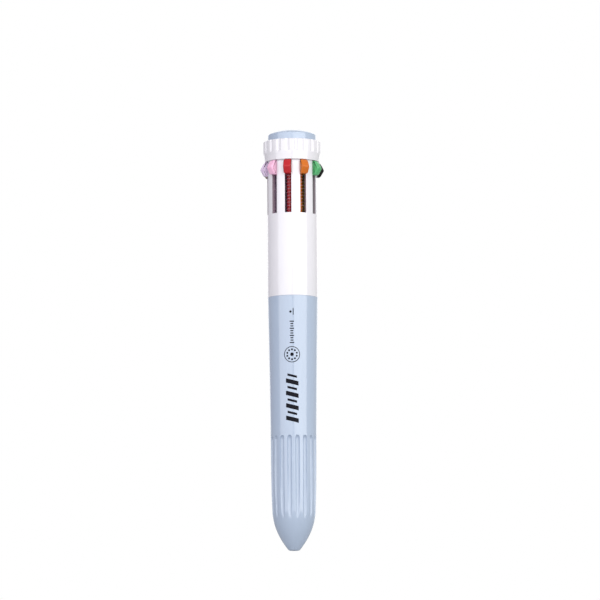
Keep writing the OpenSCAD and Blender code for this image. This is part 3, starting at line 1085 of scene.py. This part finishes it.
def build_world():
    """White behind the pen for the camera. For light, a studio that is brighter on the right."""
    left, right = (0.49, 0.475, 0.51, 1), (0.64, 0.64, 0.63, 1)
    light_from_below = 0.6
    world = bpy.data.worlds.new("studio")
    world.use_nodes = True
    tree = world.node_tree
    nodes, links = tree.nodes, tree.links
    nodes.clear()
    out = nodes.new("ShaderNodeOutputWorld")
    mix = nodes.new("ShaderNodeMixShader")
    seen, lit = nodes.new("ShaderNodeBackground"), nodes.new("ShaderNodeBackground")
    seen.inputs["Color"].default_value = (1, 1, 1, 1)
    split = nodes.new("ShaderNodeSeparateXYZ")
    links.new(nodes.new("ShaderNodeTexCoord").outputs["Generated"], split.inputs["Vector"])
    across, upward = nodes.new("ShaderNodeMapRange"), nodes.new("ShaderNodeMapRange")
    for node, low, high, socket in ((across, -0.5, 0.5, "X"), (upward, -0.5, 0.3, "Z")):
        node.inputs["From Min"].default_value = low
        node.inputs["From Max"].default_value = high
        links.new(split.outputs[socket], node.inputs["Value"])
    upward.inputs["To Min"].default_value = light_from_below
    sides = nodes.new("ShaderNodeMix")
    sides.data_type = "RGBA"
    sides.inputs[6].default_value = left
    sides.inputs[7].default_value = right
    links.new(across.outputs["Result"], sides.inputs[0])
    links.new(sides.outputs[2], lit.inputs["Color"])
    links.new(upward.outputs["Result"], lit.inputs["Strength"])
    path = nodes.new("ShaderNodeLightPath")
    links.new(path.outputs["Is Camera Ray"], mix.inputs["Fac"])
    links.new(lit.outputs["Background"], mix.inputs[1])
    links.new(seen.outputs["Background"], mix.inputs[2])
    links.new(mix.outputs["Shader"], out.inputs["Surface"])
    scene.world = world


def build_floor():
    """Pale to the camera, greyer to reflections, fading out with distance, and clear from below."""
    n = 24
    side = np.linspace(-FLOOR_HALF, FLOOR_HALF, n + 1)
    verts = [(x, y, FLOOR_Z) for y in side for x in side]
    floor = make_object("floor", verts, grid_faces(n + 1, n + 1, wrap_cols=False))
    nodes = Nodes("pale_floor")
    pale = nodes.mix(nodes.ranged(nodes.noise(3, 3), 0, 1), srgb(246, 246, 248), srgb(242, 242, 245))
    path = nodes.add("LightPath")
    nodes.set(color=nodes.mix(path.outputs["Is Camera Ray"], srgb(190, 192, 194), pale), rough=0.7)
    distance = nodes.vector("LENGTH", nodes.coords, (0, 0, 0), "Value")
    far = nodes.ranged(distance, 0.0, 1.0, FADE_FROM, FADE_TO)
    mix = nodes.add("MixShader")
    nodes.link(nodes.math("MAXIMUM", nodes.add("NewGeometry").outputs["Backfacing"], far), mix.inputs["Fac"])
    nodes.link(nodes.bsdf.outputs[0], mix.inputs[1])
    nodes.link(nodes.add("BsdfTransparent").outputs[0], mix.inputs[2])
    nodes.link(mix.outputs[0], nodes.tree.nodes["Material Output"].inputs["Surface"])
    floor.data.materials.append(nodes.material)
    if floor.data.polygons[0].normal.z < 0:
        floor.data.flip_normals()


def build_camera():
    """Looks up by 7 degrees with a long lens, from in front. The pen leans a third of a degree."""
    tilt, roll, distance = math.radians(-7.2), math.radians(0.34), 1.6
    frame_width, across, up_pen = 206.9, 2.50, 86.4
    forward = Vector((0, math.cos(tilt), -math.sin(tilt)))
    up = Vector((0, math.sin(tilt), math.cos(tilt)))
    right = Vector((1, 0, 0))
    aim = right * across * MM + up * up_pen * MM
    camera = bpy.data.cameras.new("camera")
    camera.sensor_width = 36.0
    camera.lens = camera.sensor_width * distance / (frame_width * MM)
    camera.clip_start, camera.clip_end = 0.01, 50
    obj = linked("camera", camera)
    turned_up = up * math.cos(roll) + right * math.sin(roll)
    turned_right = right * math.cos(roll) - up * math.sin(roll)
    basis = Matrix((turned_right, turned_up, -forward)).transposed()
    obj.matrix_world = Matrix.Translation(aim - forward * distance) @ basis.to_4x4()
    scene.camera = obj


build_grip()
build_upper_barrel()
build_crown()
build_cap()
build_slides()
build_springs()
build_refills()
build_bars()
build_badge()
build_ticks()
build_size_mark()
dress_cad_nodes()
build_world()
build_floor()
softbox("softbox_left", azimuth=-35.5, height=0.44, distance=0.8, width=1.06, tall=0.98, power=4.0,
        color=(0.97, 0.97, 1.0))
softbox("softbox_right", azimuth=35.5, height=0.44, distance=0.8, width=1.02, tall=0.98, power=5.6)
softbox("softbox_back", azimuth=180, height=0.45, distance=1.0, width=1.2, tall=0.9, power=2.8)
build_camera()
scene.view_settings.view_transform = "Standard"
scene.view_settings.look = "None"
